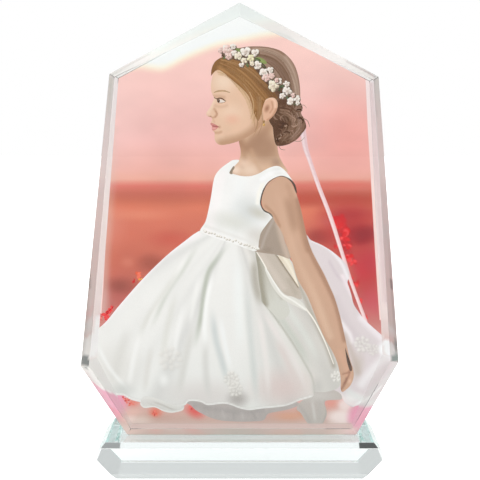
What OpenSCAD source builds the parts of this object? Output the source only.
// Crystal photo plaque: a bevelled glass plaque with a picture on its back, bonded to a bevelled glass base.
// Millimetres. X runs to the right as the picture is seen, Y from front to back, Z up.
// The origin is on the table, under the centre of the base.

/* [Plaque outline] */
// Height of the plaque from its foot to its peak
plaque_height = 148.5; // [130:0.5:190]
// Width of the plaque at its belly, where it is widest
belly_width = 110; // [104:1:140]
// Height of the left belly corner above the foot
belly_left_rise = 24; // [15:0.5:40]
// Height of the right belly corner above the foot
belly_right_rise = 25.5; // [15:0.5:40]
// Distance of the left shoulder corner from the middle
shoulder_left = 44; // [36:0.5:50]
// Distance of the right shoulder corner from the middle
shoulder_right = 47; // [36:0.5:50]
// Height of the left shoulder corner above the foot
shoulder_left_rise = 124.5; // [90:0.5:126]
// Height of the right shoulder corner above the foot
shoulder_right_rise = 123.5; // [90:0.5:126]
// Sideways place of the peak
peak_offset = 0; // [-10:0.5:10]
// Distance of the left end of the foot from the middle
foot_left = 39; // [28:0.5:42]
// Distance of the right end of the foot from the middle
foot_right = 40.5; // [28:0.5:42]

/* [Plaque cut] */
// Thickness of the plaque
plaque_thickness = 20; // [14:0.5:30]
// Angle of all bevels to the front and back faces, in degrees
bevel_angle = 45; // [30:1:55]
// How much of each side is taken off where a sharp corner of the outline is blunted
corner_arris = 0.3; // [0.1:0.05:1]

/* [Front bevel widths] */
// Width along the foot
front_foot_bevel = 2.7; // [1:0.1:5]
// Width at the belly corners
front_belly_bevel = 3; // [1:0.1:5]
// Width at the shoulder corners
front_shoulder_bevel = 1.9; // [1:0.1:5]
// Width at the peak
front_peak_bevel = 4.4; // [1:0.1:6]

/* [Back bevel widths] */
// Width along the foot
back_foot_bevel = 1.5; // [1:0.1:5]
// Width at the belly corners
back_belly_bevel = 4.4; // [1:0.1:6]
// Width at the shoulder corners
back_shoulder_bevel = 2.1; // [1:0.1:5]
// Width at the peak
back_peak_bevel = 2.5; // [1:0.1:5]

/* [Picture] */
// Bare glass left round the printed film on the back face
picture_margin = 0.3; // [0.2:0.1:6]
// Thickness of the printed film
print_thickness = 0.2; // [0.1:0.05:0.5]
// Thickness of the white film behind the print
backing_thickness = 0.2; // [0.1:0.05:0.5]

/* [Base] */
// Length of the base
base_length = 97; // [92:1:140]
// Depth of the base from front to back
base_depth = 39; // [34:1:70]
// Height of the glass base
base_height = 12.7; // [12:0.1:30]
// Width and height of the bevel along the top edge of the front
base_top_bevel = 1.7; // [0.5:0.1:4]
// Width and height of the bevel along the bottom edge of the front
base_bottom_bevel = 1.9; // [0.5:0.1:4]
// How much is taken off the top and bottom edges of the plain back
base_back_arris = 0.4; // [0.2:0.1:1.5]
// How far the upper bevel of each end runs in along the top
end_top_run = 2.8; // [1:0.1:5]
// How far the upper bevel of each end runs down
end_top_drop = 3.3; // [1:0.1:5]
// How far the lower bevel of each end runs in along the underside
end_bottom_run = 6.5; // [1:0.1:8]
// How far the lower bevel of each end runs up
end_bottom_rise = 7; // [1:0.1:8]

/* [Bond] */
// Thickness of the clear adhesive under the foot
bond_thickness = 0.15; // [0.05:0.05:0.5]

/* [Hidden] */

foot_z = base_height + bond_thickness;
front_y = -plaque_thickness / 2;
back_y = plaque_thickness / 2;
foot_front_y = front_y + front_foot_bevel * tan(bevel_angle);
foot_back_y = back_y - back_foot_bevel * tan(bevel_angle);
foot_flat_length = foot_left + foot_right - 2 * corner_arris;
base_front_y = -base_depth / 2;
base_back_y = base_depth / 2;

// Corners of the plaque's outline, in X and height above the foot, anticlockwise from the foot's left end
outline = [
    [-foot_left, 0],
    [foot_right, 0],
    [belly_width / 2, belly_right_rise],
    [shoulder_right, shoulder_right_rise],
    [peak_offset, plaque_height],
    [-shoulder_left, shoulder_left_rise],
    [-belly_width / 2, belly_left_rise],
];
front_widths = corner_widths(front_foot_bevel, front_belly_bevel, front_shoulder_bevel, front_peak_bevel);
back_widths = corner_widths(back_foot_bevel, back_belly_bevel, back_shoulder_bevel, back_peak_bevel);
front_face = inset(outline, front_widths);
back_face = inset(outline, back_widths);
picture_outline = inset(back_face, [for (corner = back_face) picture_margin]);
// How far a grinding wedge reaches past the glass that it cuts
wedge_reach = 4 * max(concat(front_widths, back_widths));

// Bevel widths in the order of the outline's corners
function corner_widths(foot, belly, shoulder, peak) = [foot, foot, belly, shoulder, peak, shoulder, belly];

// Unit vector that points into an anticlockwise outline from its side p to q
function inward(p, q) = let (d = (q - p) / norm(q - p)) [-d.y, d.x];

// The corner at, moved so that it lies w further in from both of its sides
function corner_inset(before, at, after, w) =
    let (n = inward(before, at), m = inward(at, after))
    at + w * (n + m) / (1 + n * m);

// The outline with each corner moved in by its own width
function inset(points, widths) =
    let (n = len(points))
    [for (i = [0 : n - 1]) corner_inset(points[(i + n - 1) % n], points[i], points[(i + 1) % n], widths[i])];

// The outline with w taken off both sides of every corner
function blunted(points, w) =
    let (n = len(points))
    [
        for (i = [0 : n - 1])
            let (at = points[i], back = points[(i + n - 1) % n] - at, on = points[(i + 1) % n] - at)
            each [at + w * back / norm(back), at + w * on / norm(on)]
    ];

// A plate with the given outline, standing upright on the foot, from y to y + thickness
module upright_plate(points, y, thickness) {
    translate([0, y + thickness, foot_z])
        rotate([90, 0, 0])
            linear_extrude(thickness)
                polygon(points);
}

// The glass outside the bevel that starts from the side p to q of the face at y
// into is 1 where the glass lies behind that face and -1 where it lies in front of it
module bevel_wedge(p, q, y, into) {
    start = [y, 0];
    reach = wedge_reach * [into * sin(bevel_angle), -cos(bevel_angle)];
    run = q - p;
    translate([p.x, 0, foot_z + p.y])
        rotate([0, -atan2(run.y, run.x), 0])
            translate([-wedge_reach, 0, 0])
                rotate([90, 0, 90])
                    linear_extrude(norm(run) + 2 * wedge_reach)
                        polygon([start - reach, start + reach, start - wedge_reach * [into, 1]]);
}

// Grinding wedges along every side of the face at y
module bevel_wedges(face, y, into) {
    corners = len(face);
    for (i = [0 : corners - 1])
        bevel_wedge(face[i], face[(i + 1) % corners], y, into);
}

// The plaque: a plate with blunted corners, ground to tapering bevels that meet in mitres round both faces
module crystal_plaque() {
    color("lightcyan", 0.4)
        difference() {
            upright_plate(blunted(outline, corner_arris), front_y, plaque_thickness);
            bevel_wedges(front_face, front_y, 1);
            bevel_wedges(back_face, back_y, -1);
        }
}

// The printed film on the back face
module photo_print() {
    color("lightpink")
        upright_plate(picture_outline, back_y, print_thickness);
}

// The white film that covers the print from behind
module white_backing() {
    color("white")
        upright_plate(picture_outline, back_y + print_thickness, backing_thickness);
}

// The clear adhesive between the foot of the plaque and the top of the base
module foot_bond() {
    color("whitesmoke", 0.5)
        translate([corner_arris - foot_left, foot_front_y, base_height])
            cube([foot_flat_length, foot_back_y - foot_front_y, bond_thickness]);
}

// The right half of the base as seen from the front, in X and Z, from the underside up
function base_end_profile() = [
    [base_length / 2 - end_bottom_run, 0],
    [base_length / 2, end_bottom_rise],
    [base_length / 2, base_height - end_top_drop],
    [base_length / 2 - end_top_run, base_height],
];

// The base as seen from its right end, in Y and Z, anticlockwise from the front of its underside
function base_side_profile() = [
    [base_front_y + base_bottom_bevel, 0],
    [base_back_y - base_back_arris, 0],
    [base_back_y, base_back_arris],
    [base_back_y, base_height - base_back_arris],
    [base_back_y - base_back_arris, base_height],
    [base_front_y + base_top_bevel, base_height],
    [base_front_y, base_height - base_top_bevel],
    [base_front_y, base_bottom_bevel],
];

// An outline with its mirror image in X
function with_mirror_image(half) =
    let (n = len(half))
    [each half, for (i = [n - 1 : -1 : 0]) [-half[i].x, half[i].y]];

// The base: a slab that is ground to wide bevels at its ends and narrow ones along its front
module crystal_base() {
    color("lightcyan", 0.4)
        intersection() {
            translate([0, base_back_y, 0])
                rotate([90, 0, 0])
                    linear_extrude(base_depth)
                        polygon(with_mirror_image(base_end_profile()));
            translate([-base_length / 2, 0, 0])
                rotate([90, 0, 90])
                    linear_extrude(base_length)
                        polygon(base_side_profile());
        }
}

crystal_plaque();
photo_print();
white_backing();
foot_bond();
crystal_base();
